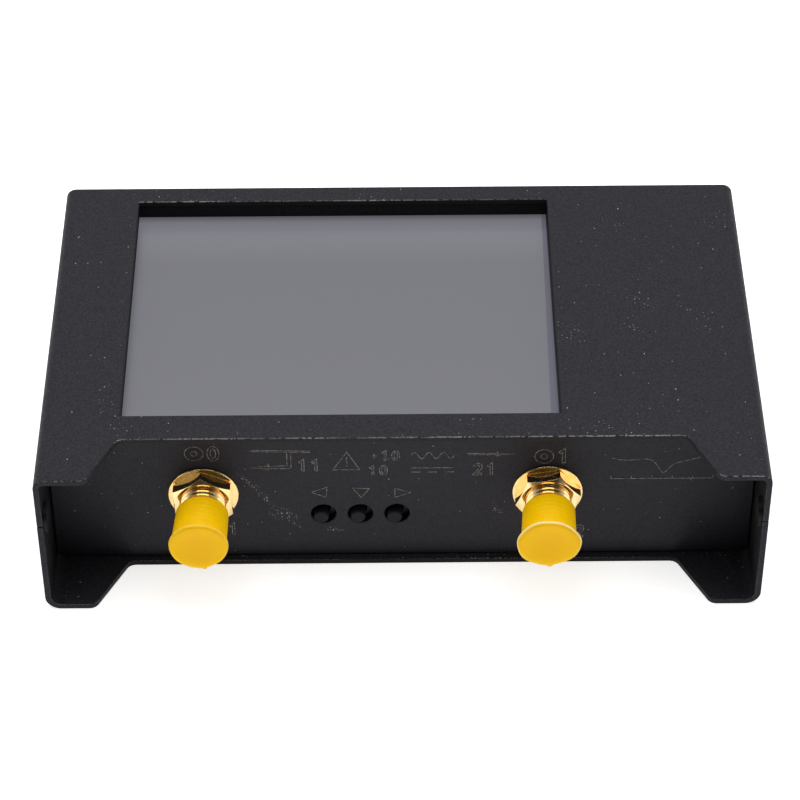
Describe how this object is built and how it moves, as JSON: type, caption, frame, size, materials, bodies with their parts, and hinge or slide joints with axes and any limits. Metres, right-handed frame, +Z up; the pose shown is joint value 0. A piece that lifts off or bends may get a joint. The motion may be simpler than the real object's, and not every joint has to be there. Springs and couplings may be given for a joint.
{
  "type": "vector network analyzer",
  "caption": "Handheld vector network analyzer: folded black steel case, framed touch screen in the top, capped coaxial ports and push-buttons on a recessed front panel.",
  "frame": {"origin": "middle of the footprint, on the surface the instrument stands on, with both dust caps fitted", "axes": "+X to the user's right along the longest side, +Y from the port panel to the rear, +Z up through the screen"},
  "size_m": [0.1, 0.0646, 0.0247],
  "materials": {
    "powder_coat": "fine-grained matt powder coat, dark grey-black",
    "panel_black": "satin black with laser-marked grey lines",
    "steel": "plain bright steel",
    "foam": "black closed-cell foam",
    "screen_glass": "grey resistive touch screen, switched off",
    "lcd": "liquid-crystal glass",
    "white_plastic": "moulded white",
    "clear_plastic": "clear moulded acrylic",
    "polyimide": "amber polyimide film",
    "circuit_board": "green solder mask",
    "tin": "drawn tinplate",
    "black_plastic": "moulded black",
    "gold": "polished gold plating",
    "battery_foil": "silver laminate pouch",
    "red_lead": "red wire sleeve",
    "black_lead": "black wire sleeve",
    "brass": "turned brass",
    "yellow_cap": "soft translucent yellow plastic",
    "button_black": "hard black plastic"
  },
  "bodies": {
    "case": {"top_shell": "powder_coat", "bottom_shell": "powder_coat", "locating_tabs": "powder_coat", "front_panel": "panel_black", "rear_panel": "panel_black", "display_gasket": "foam", "touch_panel": "screen_glass", "touch_adhesive": "foam", "lcd_glass": "lcd", "backlight_frame": "white_plastic", "light_guide": "clear_plastic", "display_pads": "foam", "display_flex": "polyimide", "flex_connector": "white_plastic", "main_board": "circuit_board", "screening_cans": "tin", "board_chips": "black_plastic", "left_port_body": "gold", "right_port_body": "gold", "left_port_insulator": "white_plastic", "right_port_insulator": "white_plastic", "left_port_contact": "gold", "right_port_contact": "gold", "port_washers": "gold", "port_nuts": "gold", "left_switch_body": "black_plastic", "middle_switch_body": "black_plastic", "right_switch_body": "black_plastic", "power_switch_body": "steel", "usb_socket_shell": "steel", "usb_socket_tongue": "black_plastic", "indicator_leds": "white_plastic", "light_pipes": "clear_plastic", "battery_pad": "foam", "battery_pack": "battery_foil", "battery_socket": "white_plastic", "battery_plug": "white_plastic", "battery_lead_red": "red_lead", "battery_lead_black": "black_lead", "lid_standoffs": "steel", "board_spacers": "brass", "case_screws": "steel", "rear_panel_blocks": "brass", "rear_panel_screws": "steel"},
    "left_cap": {"left_dust_cap": "yellow_cap"},
    "right_cap": {"right_dust_cap": "yellow_cap"},
    "left_button": {"left_button_plunger": "button_black"},
    "middle_button": {"middle_button_plunger": "button_black"},
    "right_button": {"right_button_plunger": "button_black"},
    "power_knob": {"power_switch_knob": "button_black"}
  },
  "joints": [
    {"name": "left_cap_pull", "type": "slide", "parent": "case", "child": "left_cap", "axis": [0, -1, 0], "range_m": [0, 0.012]},
    {"name": "right_cap_pull", "type": "slide", "parent": "case", "child": "right_cap", "axis": [0, -1, 0], "range_m": [0, 0.012]},
    {"name": "left_button_press", "type": "slide", "parent": "case", "child": "left_button", "axis": [0, 1, 0], "range_m": [0, 0.00025], "stiffness_N_per_m": 1200},
    {"name": "middle_button_press", "type": "slide", "parent": "case", "child": "middle_button", "axis": [0, 1, 0], "range_m": [0, 0.00025], "stiffness_N_per_m": 1200},
    {"name": "right_button_press", "type": "slide", "parent": "case", "child": "right_button", "axis": [0, 1, 0], "range_m": [0, 0.00025], "stiffness_N_per_m": 1200},
    {"name": "power_slide", "type": "slide", "parent": "case", "child": "power_knob", "axis": [1, 0, 0], "range_m": [0, 0.002]}
  ]
}
